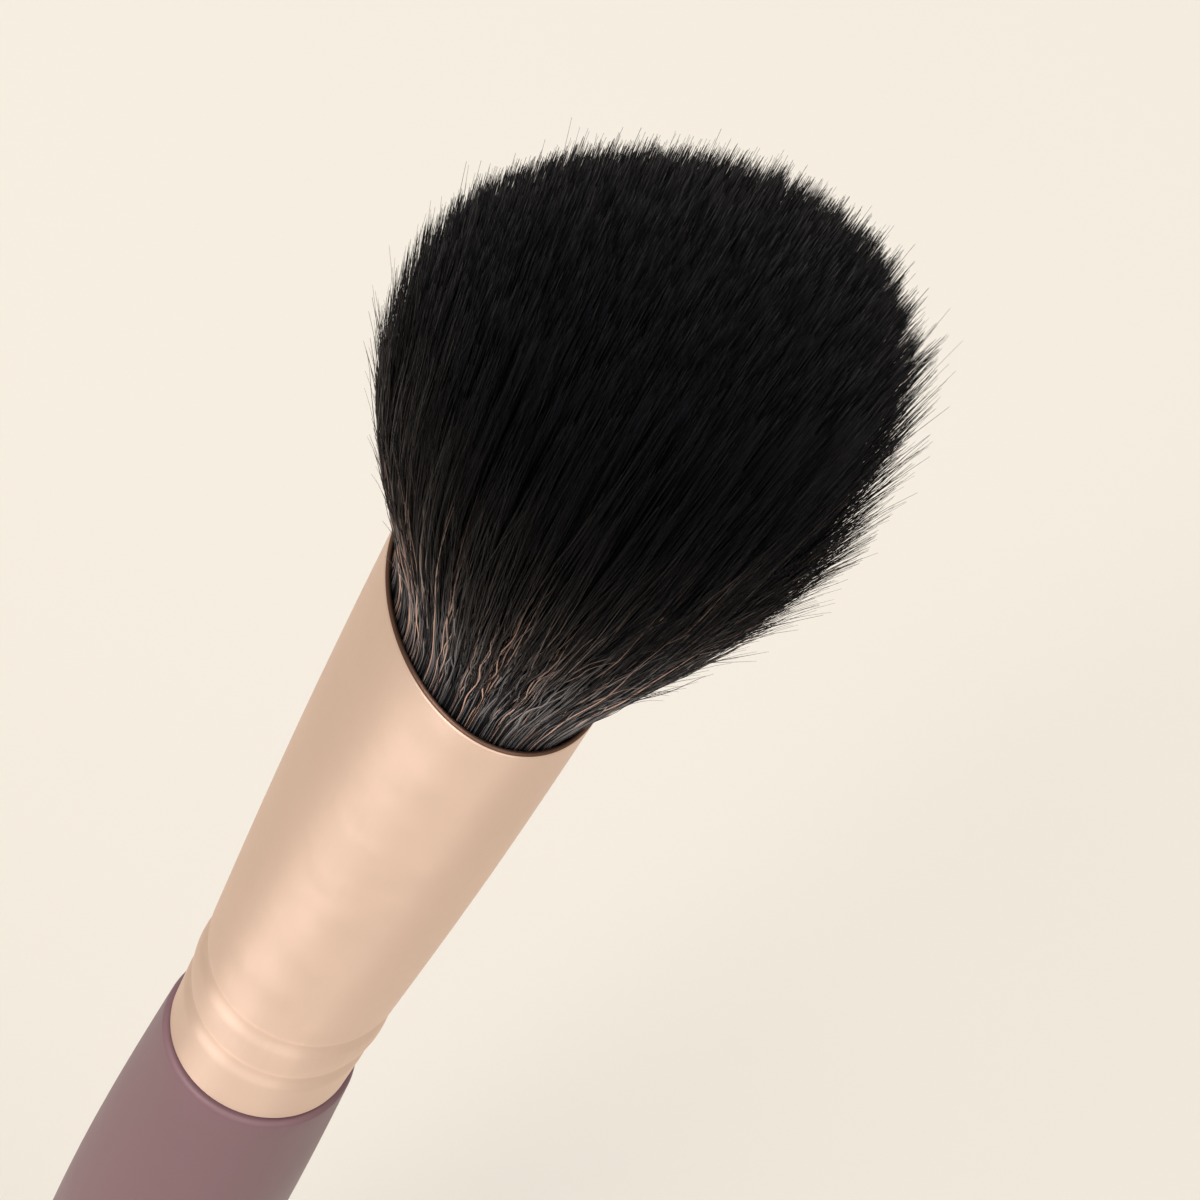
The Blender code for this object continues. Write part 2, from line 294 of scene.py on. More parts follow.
# Head: where most tips end, a little inside the farthest ones
HAIR_LENGTH = 36.7 * MM
SLANT_SHARE = 0.45
HEAD_LONG_SIDE_HALF_WIDTH = 14.5 * MM
HEAD_SHORT_SIDE_HALF_WIDTH = 10.3 * MM
HEAD_LEFT_HALF_DEPTH = 12.6 * MM
HEAD_RIGHT_HALF_DEPTH = 12.1 * MM
CROWN_START_SHARE = 0.65
CROWN_CURVE = 2.3
FLARE_CURVE = 1.46
RIGHT_FLARE_CURVE_LOSS = 0.4
TIP_FLICK = 1.25 * MM
TIP_FLICK_CURVE = 5
SHORT_HAIR_FLICK_CURVE = 2

# Single hairs
HAIR_COUNT = 32000
HAIR_SIDES = 3
HAIR_RADIUS = 0.046 * MM
HAIR_SINK = 0.8 * MM
HAIR_SEED = 7
PLACE_SHAKE_SHARE = 0.35
THICKNESS_SHARES = (0.8, 1.15)
COPPER_THICKENING = 0.25
RIM_THINNING = 0.25
TAPER_STATIONS = (0.0, 0.12, 0.5, 1.0)
TAPER_SHARES = (0.8, 1.0, 1.0, 0.2)

# Tufts and the larger locks: how far apart their middles are, and how much those are shaken
TUFT_SPACING = 0.052
LOCK_SPACING = 0.10
CLUMP_SHAKE_SHARE = 0.22

# Where the sides of the head begin and are full, along their directions
LONG_SIDE_SPAN = (-0.2, 0.6)
NEAR_SIDE_SPAN = (0.1, 0.8)
FAR_SIDE_SPAN = (-0.9, 0.7)
LEFT_SIDE_SPAN = (0.3, 0.95)

# Reaches between which hairs come to count as outer, outermost and ragged
OUTER_SPAN = (0.55, 1.0)
OUTERMOST_SPAN = (0.8, 1.0)
RAGGED_SPAN = (0.76, 0.97)

# Tips, as shares of the hair's length: domed tufts and locks, and the spread of single ends
TUFT_DOME_SHARE = 0.045
TUFT_DOME_MIDDLE = 0.45
LOCK_DOME_SHARE = 0.03
LOCK_DOME_MIDDLE = 0.4
HAIR_END_SPREAD = 0.017
TUFT_END_SPREAD = 0.010
LOCK_END_SPREAD = 0.03
RAGGED_HAIR_END_SPREAD = 0.03
RAGGED_TUFT_END_SPREAD = 0.045

# Outermost hairs that end early, in whole tufts or one by one, and peel away from the head
EARLY_TUFT_CHANCE = 0.2
EARLY_TUFT_SHARES = (0.6, 0.97)
EARLY_TUFT_SPREAD = 0.03
EARLY_TUFT_NEAR_LIMIT = 0.5
EARLY_HAIR_CHANCE = 0.35
EARLY_HAIR_CHANCE_RIGHT = 0.35
EARLY_HAIR_SHARES = (0.45, 0.98)
EARLY_REACH = 0.92
EARLY_REACH_LOSS_RIGHT = 0.05
PEEL_LENGTHS = (0.1 * MM, 0.8 * MM)
PEEL_SHARE = 0.3
PEEL_SHARE_LONG_SIDE = 0.7
PEEL_SHARE_RIGHT = 0.8

# Pull of the tips to the middles of their tuft and lock, as shares of the way there
TUFT_PULL_SHARE = 0.2
TUFT_PULL_SHARE_OUTER = 0.32
TUFT_PULL_SHARE_RAGGED = 0.5
TUFT_PULL_LOSS_NEAR = 0.7
TUFT_PULL_SPREAD = (0.4, 1.1)
LOCK_PULL_SHARE = 0.12
LOCK_PULL_SHARE_LONG_SIDE = 0.38
LOCK_PULL_SPREAD = (0.5, 1.1)
PULL_SPAN = (0.6, 1.0)
PULL_CURVE = 1.5

# Crimp waves
WAVE_LENGTHS = (4.4 * MM, 9.5 * MM)
WAVE_SIZE_SHAPE = 1.6
WAVE_SIZE_SCALE = 0.05 * MM
WAVE_SIZE_LIMIT = 0.18 * MM
COPPER_WAVE_GROWTH = 0.4
WAVE_START_SPAN = (0.0, 4.0 * MM)
WAVE_CALM_SPAN = (8.0 * MM, 20.0 * MM)
WAVE_CALM_LOSS = 0.85
PHASE_SPREAD = 0.5
TINTED_PHASE_SPREAD = 1.5
PHASE_SWING = 0.9
PHASE_SWING_RATE = 2.4
OUTWARD_WAVE_SHARE = 0.4
OUTWARD_WAVE_RATE = 1.31
OUTWARD_WAVE_PHASE = 1.0

# Slow drift of each hair, and a few stray tips, which stray and peel late along the hair
LATE_CURVE = 3
DRIFT_SIZE = 0.16 * MM
DRIFT_RATE = 5.0
DRIFT_SPAN = (0.0, 0.7)
STRAY_SIZE = 0.55 * MM
STRAY_CHANCE = 0.05

# Tints near the roots: black up to 0.2, grey from 0.25 to 0.55, copper from 0.65
TINT_DRAWS = (0.0, 0.45, 0.46, 0.84, 0.85, 1.0)
TINTS = (0.0, 0.2, 0.25, 0.55, 0.65, 1.0)
GREY_LIMIT = 0.22
COPPER_LIMIT = 0.6

# How high the roots' tint, partly the hairs' own and partly painted light, shows above the mouth, and how
# much painted shade at the mouth's edge darkens it
FADE_START = 4.0 * MM
FADE_HEIGHTS = (11.0 * MM, 18.0 * MM)
COPPER_FADE_GROWTH = 0.4
RIGHT_FADE_GROWTH = 0.7
MOUTH_SHADE_SPAN = (0.0, 3.5 * MM)
TINT_SHARE_IN_PAINTED_MOUTH_SHADE = 0.45

# Gloss of the tips, and of the flanks on the left, which also paints a lighter glint into their colour, most
# on the far side and the left, where the light falls
GLOSS = 0.8
GLOSS_LEAST_SHARE = 0.15
GLOSS_CURVE = 3
SHINE_START_SHARE = 0.7
SHINE_START_LOSS_LEFT = 0.55
SHINE_RISE_SHARE = 0.25

# Rings of hair: the rim shows most and has the most stations along its hairs, close where they wave
RIM_REACH = 0.945
MANTLE_REACH = 0.72
WAVY_SHARE = 0.48
WAVY_STEPS = 22
TIP_STEPS = 7
WAVY_STATIONS = [WAVY_SHARE * share for share in evenly(WAVY_STEPS)]
TIP_STATIONS = [WAVY_SHARE + (1.0 - WAVY_SHARE) * share for share in evenly(TIP_STEPS)][1:]
RIM_STATIONS = WAVY_STATIONS + TIP_STATIONS
MANTLE_STATIONS = [0.0, 0.09, 0.18, 0.29, 0.43, 0.6, 0.8, 1.0]
CORE_STATIONS = [0.0, 0.5, 0.82, 1.0]
RIM_PARTS = 4
MANTLE_PARTS = 4
CORE_PARTS = 3

# A hair's cell in its UV map: where the strand starts, how long and high it lies, and its end caps
CELL_START = 0.05
CELL_LENGTH = 0.86
CELL_FOOT = 0.08
CELL_HEIGHT = 0.84
CAP_LENGTH = 0.04

VERTEX_LAYERS = ("hair", "step", "side")


def unit_spiral(count):
    """Evenly spread points of a unit disc, from its centre outwards."""
    index = np.arange(count)
    reach = np.sqrt((index + 0.5) / count)
    return np.stack([reach * np.cos(index * GOLDEN_ANGLE), reach * np.sin(index * GOLDEN_ANGLE)], 1)


def nearest_centres(places, centres):
    """Index of the nearest centre for each place in the unit disc."""
    tree = KDTree(len(centres))
    for index, (x, y) in enumerate(centres):
        tree.insert((x, y, 0.0), index)
    tree.balance()
    return np.array([tree.find((x, y, 0.0))[1] for x, y in places])


def smooth_step(low, high, values):
    share = np.clip((values - low) / (high - low), 0.0, 1.0)
    return share * share * (3.0 - 2.0 * share)


def clump_count(spacing):
    return int(math.pi / spacing ** 2)


def gather(hair, clump, spacing, shuffle):
    """Note each hair's nearest clump of a kind, the way to its middle, and how many spacings that is."""
    centres = unit_spiral(clump_count(spacing))
    centres += shuffle.normal(0.0, CLUMP_SHAKE_SHARE * spacing, centres.shape)
    nearest = nearest_centres(hair["place"], centres)
    way = centres[nearest] - hair["place"]
    hair[clump] = nearest
    hair[f"to_{clump}"] = way
    hair[f"off_{clump}"] = np.hypot(*way.T) / spacing


def place_hairs(shuffle):
    """The hairs' places in the mouth, and how much each belongs to the sides, tufts and locks."""
    shake = PLACE_SHAKE_SHARE / math.sqrt(HAIR_COUNT)
    place = unit_spiral(HAIR_COUNT) + shuffle.normal(0.0, shake, (HAIR_COUNT, 2))
    reach = np.hypot(place[:, 0], place[:, 1])
    place /= np.maximum(reach, 1.0)[:, None]
    reach = np.minimum(reach, 1.0)
    long_side = smooth_step(*LONG_SIDE_SPAN, place[:, 0])
    hair = {
        "place": place,
        "reach": reach,
        "outer": smooth_step(*OUTER_SPAN, reach),
        "outermost": smooth_step(*OUTERMOST_SPAN, reach),
        "ragged": smooth_step(*RAGGED_SPAN, reach) * long_side,
        "long_side": long_side,
        "near_side": smooth_step(*NEAR_SIDE_SPAN, place @ NEAR_SIDE),
        "far_side": smooth_step(*FAR_SIDE_SPAN, place @ -NEAR_SIDE),
        "left_side": smooth_step(*LEFT_SIDE_SPAN, place @ LEFT_SIDE),
        "right_side": np.clip(place @ RIGHT_SIDE, 0.0, 1.0),
    }
    gather(hair, "tuft", TUFT_SPACING, shuffle)
    gather(hair, "lock", LOCK_SPACING, shuffle)
    return hair


def cut_tips(hair, shuffle):
    """Note where each hair ends, as a share of the head, and whether that is early."""
    tuft, reach, ragged, right_side = (hair[name] for name in ("tuft", "reach", "ragged", "right_side"))
    tuft_count = clump_count(TUFT_SPACING)
    lock_count = clump_count(LOCK_SPACING)
    crown = (1.0 - reach ** CROWN_CURVE) ** (1.0 / CROWN_CURVE)
    end = CROWN_START_SHARE + (1.0 - CROWN_START_SHARE) * crown
    tuft_dome = TUFT_DOME_SHARE * (TUFT_DOME_MIDDLE - hair["off_tuft"])
    lock_dome = LOCK_DOME_SHARE * (LOCK_DOME_MIDDLE - hair["off_lock"])
    end *= 1.0 + tuft_dome + lock_dome
    end *= 1.0 + shuffle.normal(0.0, HAIR_END_SPREAD + RAGGED_HAIR_END_SPREAD * ragged)
    tuft_spread = TUFT_END_SPREAD + RAGGED_TUFT_END_SPREAD * ragged
    end *= 1.0 + shuffle.normal(0.0, 1.0, tuft_count)[tuft] * tuft_spread
    end *= 1.0 + hair["outermost"] * shuffle.normal(0.0, LOCK_END_SPREAD, lock_count)[hair["lock"]]

    # Some tufts near the rim end early, so the side shows steps of short tips
    in_early_tuft = (shuffle.random(tuft_count) < EARLY_TUFT_CHANCE)[tuft]
    tuft_share = shuffle.uniform(*EARLY_TUFT_SHARES, tuft_count)[tuft]
    tuft_share = tuft_share + shuffle.normal(0.0, EARLY_TUFT_SPREAD, HAIR_COUNT)
    early_share = np.where(in_early_tuft, tuft_share, shuffle.uniform(*EARLY_HAIR_SHARES, HAIR_COUNT))
    chance = EARLY_HAIR_CHANCE + EARLY_HAIR_CHANCE_RIGHT * right_side
    is_early = in_early_tuft & (hair["near_side"] < EARLY_TUFT_NEAR_LIMIT)
    is_early |= shuffle.random(HAIR_COUNT) < chance
    is_early &= reach > EARLY_REACH - EARLY_REACH_LOSS_RIGHT * right_side
    hair["is_early"] = is_early
    hair["end"] = np.where(is_early, end * early_share, end)


def pull_tips(hair, shuffle):
    """Note how far each tip is pulled into its tuft and lock, and how far it peels away."""
    tuft_share = TUFT_PULL_SHARE + TUFT_PULL_SHARE_OUTER * hair["outer"]
    tuft_share += TUFT_PULL_SHARE_RAGGED * hair["ragged"]
    tuft_share *= 1.0 - TUFT_PULL_LOSS_NEAR * hair["near_side"]
    tuft_share *= shuffle.uniform(*TUFT_PULL_SPREAD, HAIR_COUNT)
    lock_share = LOCK_PULL_SHARE + LOCK_PULL_SHARE_LONG_SIDE * hair["long_side"]
    lock_share *= hair["outermost"] * shuffle.uniform(*LOCK_PULL_SPREAD, HAIR_COUNT)
    hair["pull"] = hair["to_tuft"] * tuft_share[:, None] + hair["to_lock"] * lock_share[:, None]
    peel_share = PEEL_SHARE + PEEL_SHARE_LONG_SIDE * hair["long_side"] + PEEL_SHARE_RIGHT * hair["right_side"]
    peel = shuffle.uniform(*PEEL_LENGTHS, clump_count(TUFT_SPACING))[hair["tuft"]]
    hair["peel"] = hair["is_early"] * peel * peel_share


def crimp(hair, shuffle):
    """Note the waves of each hair, its slow drift and its stray tip."""
    tuft_phase = shuffle.uniform(0.0, FULL_TURN, clump_count(TUFT_SPACING))[hair["tuft"]]
    phase_spread = PHASE_SPREAD + TINTED_PHASE_SPREAD * (hair["tint"] > GREY_LIMIT)
    hair["wave_phase"] = tuft_phase + shuffle.normal(0.0, phase_spread)
    hair["wave_length"] = shuffle.uniform(*WAVE_LENGTHS, HAIR_COUNT)
    wave_size = shuffle.gamma(WAVE_SIZE_SHAPE, WAVE_SIZE_SCALE, HAIR_COUNT)
    wave_size *= 1.0 + COPPER_WAVE_GROWTH * (hair["tint"] > COPPER_LIMIT)
    hair["wave_size"] = np.minimum(wave_size, WAVE_SIZE_LIMIT)
    hair["drift"] = shuffle.normal(0.0, DRIFT_SIZE, (HAIR_COUNT, 2))
    hair["drift_phase"] = shuffle.uniform(0.0, FULL_TURN, HAIR_COUNT)
    stray = shuffle.normal(0.0, STRAY_SIZE, (HAIR_COUNT, 2))
    hair["stray"] = stray * (shuffle.random(HAIR_COUNT) < STRAY_CHANCE)[:, None]


def finish_hairs(hair, shuffle):
    """Note how thick each hair is, how high its tint and painted light show, how much it shines with a
    painted glint, and how it is turned.
    """
    is_copper = hair["tint"] > COPPER_LIMIT
    thickness = shuffle.uniform(*THICKNESS_SHARES, HAIR_COUNT) * (1.0 + COPPER_THICKENING * is_copper)
    thickness *= 1.0 - RIM_THINNING * (hair["reach"] > RIM_REACH)
    hair["radius"] = HAIR_RADIUS * thickness
    fade_growth = COPPER_FADE_GROWTH * is_copper + RIGHT_FADE_GROWTH * hair["right_side"]
    hair["fade_height"] = shuffle.uniform(*FADE_HEIGHTS, HAIR_COUNT) * (1.0 + fade_growth)
    # Gloss and painted glint are strongest where the light falls: the tips on the far side, and the left
    lit = np.maximum(~hair["is_early"] * hair["far_side"], hair["left_side"])
    gloss = GLOSS_LEAST_SHARE + (1.0 - GLOSS_LEAST_SHARE) * lit
    hair["gloss"] = GLOSS * gloss * shuffle.uniform(0.0, 1.0, HAIR_COUNT) ** GLOSS_CURVE
    hair["turn"] = shuffle.uniform(0.0, FULL_TURN, HAIR_COUNT)


def grow_hair():
    """Every hair's place, end, tint, lean, waves and finish, drawn once for the whole head."""
    shuffle = np.random.default_rng(HAIR_SEED)
    hair = place_hairs(shuffle)
    cut_tips(hair, shuffle)
    hair["tint"] = np.interp(shuffle.random(HAIR_COUNT), TINT_DRAWS, TINTS)
    pull_tips(hair, shuffle)
    crimp(hair, shuffle)
    finish_hairs(hair, shuffle)
    return hair


def head_points(place, share):
    """Where the hairs that start at these places of the mouth are, at a share of the head."""
    inset = 2 * LIP_RADIUS + HAIR_RADIUS
    mouth_x = half_width(FERRULE_LENGTH) - inset
    mouth_y = half_depth(FERRULE_LENGTH) - inset
    x_share = place[..., 0]
    y_share = place[..., 1]
    half_size_x = np.where(x_share > 0.0, HEAD_LONG_SIDE_HALF_WIDTH, HEAD_SHORT_SIDE_HALF_WIDTH)
    half_size_y = np.where(y_share > 0.0, HEAD_RIGHT_HALF_DEPTH, HEAD_LEFT_HALF_DEPTH)
    flare = np.sin(QUARTER_TURN * np.clip(share / CROWN_START_SHARE, 0.0, 1.0))
    # On the right the hairs splay at once and hang over the lip
    right_side = np.clip(place @ RIGHT_SIDE, 0.0, 1.0)
    flare = flare ** (FLARE_CURVE - RIGHT_FLARE_CURVE_LOSS * right_side)
    x = x_share * (mouth_x + (half_size_x - mouth_x) * flare)
    y = y_share * (mouth_y + (half_size_y - mouth_y) * flare)
    return np.stack([x, y, FERRULE_MOUTH + share * (HAIR_LENGTH + SLANT_SHARE * x)], -1)


def hair_paths(hair, chosen, stations):
    """Points (hair, station, xyz) of the chosen hairs at stations given as shares of their length."""
    pick = {name: values[chosen][:, None] for name, values in hair.items()}
    along = stations[None, :]
    share = along * pick["end"]
    height = share * HAIR_LENGTH
    grip = smooth_step(*PULL_SPAN, along) ** PULL_CURVE
    points = head_points(pick["place"] + pick["pull"] * grip[..., None], share)

    # Crimp waves are strongest just above the mouth and die out towards the tips
    wave = pick["wave_size"] * smooth_step(*WAVE_START_SPAN, height)
    wave = wave * (1.0 - WAVE_CALM_LOSS * smooth_step(*WAVE_CALM_SPAN, height))
    waves = height / pick["wave_length"]
    phase = pick["wave_phase"] + FULL_TURN * waves
    phase = phase + PHASE_SWING * np.sin(pick["drift_phase"] + PHASE_SWING_RATE * waves)
    outward_phase = OUTWARD_WAVE_RATE * phase + OUTWARD_WAVE_PHASE
    slow = np.sin(pick["drift_phase"] + DRIFT_RATE * along) * smooth_step(*DRIFT_SPAN, along)
    late = along ** LATE_CURVE
    # The head opens like a fan, so the last third of each hair leans away from its middle
    flick = TIP_FLICK * pick["reach"] * along ** TIP_FLICK_CURVE
    flick = flick * np.clip(share / CROWN_START_SHARE, 0.0, 1.0) ** SHORT_HAIR_FLICK_CURVE

    bearing = np.arctan2(pick["place"][..., 1], pick["place"][..., 0])
    level = np.zeros_like(bearing)
    outward = np.stack([np.cos(bearing), np.sin(bearing), level], -1)
    around = np.stack([-np.sin(bearing), np.cos(bearing), level], -1)
    shifts = (
        (around, wave * np.sin(phase)),
        (outward, OUTWARD_WAVE_SHARE * wave * np.sin(outward_phase)),
        (around, pick["drift"][..., 0] * slow),
        (outward, pick["drift"][..., 1] * slow),
        (around, pick["stray"][..., 0] * late),
        (outward, np.abs(pick["stray"][..., 1]) * late),
        (outward, pick["peel"] * late),
        (outward, flick),
    )
    for direction, distance in shifts:
        points += direction * distance[..., None]
    return points


def root_points(hair, chosen):
    """Where the chosen hairs leave the slice of bound roots."""
    height = FERRULE_LENGTH - ROOT_SLICE_DEPTH - HAIR_SINK
    inset = FERRULE_WALL + HAIR_RADIUS
    x = hair["place"][chosen][:, 0] * (half_width(height) - inset)
    y = hair["place"][chosen][:, 1] * (half_depth(height) - inset)
    return np.stack([x, y, np.full(len(x), FERRULE_REAR + height)], -1)[:, None, :]


def extrude_hairs(name, count, steps):
    """Three-sided strands, not yet placed: a root face each, extruded from station to station."""
    work = bmesh.new()
    hair_layer, step_layer, side_layer = [work.verts.layers.int.new(layer) for layer in VERTEX_LAYERS]
    tops = []
    for index in range(count):
        ring = [work.verts.new() for side in range(HAIR_SIDES)]
        for side, vertex in enumerate(ring):
            vertex[hair_layer] = index
            vertex[side_layer] = side
        tops.append(work.faces.new(ring))
    for step in range(1, steps):
        grown = bmesh.ops.extrude_face_region(work, geom=tops, use_keep_orig=(step == 1))["geom"]
        tops = [item for item in grown if isinstance(item, bmesh.types.BMFace)]
        for item in grown:
            if isinstance(item, bmesh.types.BMVert):
                item[step_layer] = step
    mesh = bpy.data.meshes.new(name)
    work.to_mesh(mesh)
    work.free()
    return mesh


def take_numbers(mesh, layer):
    """The whole numbers of a vertex layer, which leaves the mesh."""
    values = np.empty(len(mesh.vertices), np.int32)
    mesh.attributes[layer].data.foreach_get("value", values)
    mesh.attributes.remove(mesh.attributes[layer])
    return values


def add_numbers(mesh, layer, values):
    """A number for each vertex, which the hair's material reads."""
    mesh.attributes.new(layer, "FLOAT", "POINT").data.foreach_set("value", values.astype(np.float32))


def place_strands(mesh, paths, radius, turn, hair_of, step_of):
    """Move each vertex to its spot around its hair's path."""
    tangent = np.gradient(paths, axis=1)
    tangent /= np.linalg.norm(tangent, axis=-1, keepdims=True)
    first = np.cross(tangent, np.array([1.0, 0.0, 0.0]))
    first /= np.linalg.norm(first, axis=-1, keepdims=True)
    second = np.cross(tangent, first)
    spots = paths[hair_of, step_of]
    spots += first[hair_of, step_of] * (radius * np.cos(turn))[:, None]
    spots += second[hair_of, step_of] * (radius * np.sin(turn))[:, None]
    mesh.vertices.foreach_set("co", spots.astype(np.float32).ravel())


def hair_mesh(name, hair, chosen, stations):
    """The chosen hairs as tapering strands, with the tint, the fade of the roots' tint and painted light, and
    the gloss and painted glint that their material reads.
    """
    paths = np.concatenate([root_points(hair, chosen), hair_paths(hair, chosen, stations)], 1)
    along = np.concatenate([[0.0], stations])
    count, steps = paths.shape[:2]
    mesh = extrude_hairs(name, count, steps)
    hair_of, step_of, side_of = [take_numbers(mesh, layer) for layer in VERTEX_LAYERS]
    fields = ("radius", "turn", "tint", "fade_height", "left_side", "gloss")
    own = {field: hair[field][chosen] for field in fields}

    taper = np.interp(along, TAPER_STATIONS, TAPER_SHARES)
    radius = own["radius"][hair_of] * taper[step_of]
    turn = own["turn"][hair_of] + FULL_TURN * side_of / HAIR_SIDES
    place_strands(mesh, paths, radius, turn, hair_of, step_of)

    height = paths[..., 2] - FERRULE_MOUTH
    # The roots' tint, partly the hairs' own grey and copper and partly painted light, fades out up each hair
    fade = 1.0 - smooth_step(FADE_START, own["fade_height"][:, None], height)
    # Painted shade darkens the roots' tint right at the mouth's edge
    fade *= TINT_SHARE_IN_PAINTED_MOUTH_SHADE + (1.0 - TINT_SHARE_IN_PAINTED_MOUTH_SHADE) * smooth_step(*MOUTH_SHADE_SPAN, height)
    # The tips shine, and on the left the flanks too; the same share paints a lighter glint into their colour
    shine_start = SHINE_START_SHARE - SHINE_START_LOSS_LEFT * own["left_side"]
    shine_and_painted_glint = smooth_step(0.0, SHINE_RISE_SHARE, along[None, :] - shine_start[:, None])
    add_numbers(mesh, "tint", own["tint"][hair_of])
    add_numbers(mesh, "fade", fade[hair_of, step_of])
    add_numbers(mesh, "gloss", (own["gloss"][:, None] * shine_and_painted_glint)[hair_of, step_of])
    lay_out_hairs(mesh, count, steps, hair_of, step_of, side_of)
    mesh.update()
    mesh.shade_smooth()
    return mesh


def lay_out_hairs(mesh, count, steps, hair_of, step_of, side_of):
    """A UV map with a cell for each hair: its length across the cell, its three sides up it."""
    columns = max(1, int(math.sqrt(count) / 2))
    rows = math.ceil(count / columns)
    corner_vertex = np.empty(len(mesh.loops), np.int32)
    mesh.loops.foreach_get("vertex_index", corner_vertex)
    corner_count = np.empty(len(mesh.polygons), np.int32)
    mesh.polygons.foreach_get("loop_total", corner_count)
    face_of = np.repeat(np.arange(len(corner_count)), corner_count)
    side = side_of[corner_vertex]
    step = step_of[corner_vertex]
    cell = hair_of[corner_vertex]
    # The face from the last side to the first goes on up the cell, so it doesn't fold back over it
    starts = np.concatenate([[0], np.cumsum(corner_count)[:-1]])
    low = np.minimum.reduceat(side, starts)[face_of]
    high = np.maximum.reduceat(side, starts)[face_of]
    on_strand = (corner_count == 4)[face_of]
    closes_ring = on_strand & (low == 0) & (high == HAIR_SIDES - 1)
    side = np.where(closes_ring & (side == 0), HAIR_SIDES, side)
    cap = np.where(on_strand, 0.0, CAP_LENGTH * (side == 1))
    across = CELL_START + CELL_LENGTH * step / (steps - 1) + cap
    up = CELL_FOOT + CELL_HEIGHT * side / HAIR_SIDES
    uv = np.stack([(cell % columns + across) / columns, (cell // columns + up) / rows], 1)
    mesh.uv_layers.new(name="OFBake").uv.foreach_set("vector", uv.astype(np.float32).ravel())


# Materials

def srgb(red, green, blue):
    """Linear colour of 0 to 255 screen values."""
    shares = [value / 255.0 for value in (red, green, blue)]
    return tuple(s / 12.92 if s <= 0.04045 else ((s + 0.055) / 1.055) ** 2.4 for s in shares)


CHAMPAGNE = srgb(212, 186, 171)
CHAMPAGNE_WORN = srgb(216, 190, 174)
CHAMPAGNE_DRAWN = srgb(214, 188, 172)
LIP_PAINTED_SHADE = srgb(98, 74, 63)
MAUVE = srgb(113, 84, 89)
MAUVE_WORN = srgb(118, 88, 93)
AMBER = srgb(196, 158, 92)
AMBER_CLOUD = srgb(221, 190, 128)
PAPER = srgb(228, 220, 208)
BACKDROP = srgb(245, 237, 223)
ROOT_BLACK_PAINTED_LIGHT = (0.018, 0.018, 0.022)
ROOT_GREY_AND_PAINTED_LIGHT = (0.30, 0.29, 0.305)
ROOT_COPPER_AND_PAINTED_LIGHT = (0.85, 0.55, 0.44)
HAIR_BLACK = (0.0046, 0.0046, 0.0058)
HAIR_SOFT_BLACK = (0.0058, 0.0054, 0.0064)
HAIR_PAINTED_GLINT = (0.036, 0.029, 0.027)
FIBRE_DARK = (0.004, 0.004, 0.005)
FIBRE_GLUED = (0.02, 0.013, 0.010)

# Values of a noise between which a colour or a roughness goes from end to end
NOISE_SPAN = (0.3, 0.7)
FIBRE_NOISE_SPAN = (0.35, 0.65)

# Tints between which a root turns grey, then copper
GREY_SPAN = (0.2, 0.5)
COPPER_SPAN = (0.6, 1.0)

# Roughness, from one end of its spread to the other
FERRULE_ROUGHNESS = (0.40, 0.44)
LACQUER_ROUGHNESS = (0.40, 0.48)
RESIN_ROUGHNESS = (0.18, 0.28)
HAIR_ROUGHNESS = (0.42, 0.36)

# The Mix node's sockets for two colours and their mix, among those for its other kinds of value
FIRST_COLOUR = 6
SECOND_COLOUR = 7
MIXED_COLOUR = 2


def new_material(name):
    material = bpy.data.materials.new(name)
    material.use_nodes = True
    return material, material.node_tree, material.node_tree.nodes["Principled BSDF"]


def link(tree, start, end):
    tree.links.new(start, end)


def node(tree, kind, **settings):
    made = tree.nodes.new(kind)
    for name, value in settings.items():
        setattr(made, name, value)
    return made


def make_grain_group():
    """Fine blasted or sprayed grain and the broad marks of handling, on object coordinates."""
    group = bpy.data.node_groups.new("surface_grain", "ShaderNodeTree")
    for name, kind in (("Grain Scale", "Float"), ("Marks Scale", "Float"), ("Stretch", "Vector")):
        group.interface.new_socket(name=name, in_out="INPUT", socket_type=f"NodeSocket{kind}")
    for name in ("Height", "Marks"):
        group.interface.new_socket(name=name, in_out="OUTPUT", socket_type="NodeSocketFloat")
    entry = node(group, "NodeGroupInput")
    leave = node(group, "NodeGroupOutput")
    place = node(group, "ShaderNodeTexCoord")
    stretched = node(group, "ShaderNodeVectorMath", operation="MULTIPLY")
    grain = node(group, "ShaderNodeTexNoise")
    grain.inputs["Detail"].default_value = 3.0
    marks = node(group, "ShaderNodeTexNoise")
    marks.inputs["Detail"].default_value = 4.0
    marks.inputs["Roughness"].default_value = 0.6
    link(group, place.outputs["Object"], stretched.inputs[0])
    link(group, entry.outputs["Stretch"], stretched.inputs[1])
    link(group, stretched.outputs[0], grain.inputs["Vector"])
    link(group, entry.outputs["Grain Scale"], grain.inputs["Scale"])
    link(group, place.outputs["Object"], marks.inputs["Vector"])
    link(group, entry.outputs["Marks Scale"], marks.inputs["Scale"])
    link(group, grain.outputs["Fac"], leave.inputs["Height"])
    link(group, marks.outputs["Fac"], leave.inputs["Marks"])
    return group


def place_group(tree, group, **values):
    made = node(tree, "ShaderNodeGroup", node_tree=group)
    for name, value in values.items():
        made.inputs[name.replace("_", " ")].default_value = value
    return made


def map_range(tree, source, span, result=(0.0, 1.0)):
    """A value that runs smoothly from end to end of the result while the source runs through the span."""
    made = node(tree, "ShaderNodeMapRange", interpolation_type="SMOOTHSTEP")
    link(tree, source, made.inputs["Value"])
    for name, value in zip(("From Min", "From Max", "To Min", "To Max"), (*span, *result)):
        made.inputs[name].default_value = value
    return made.outputs["Result"]


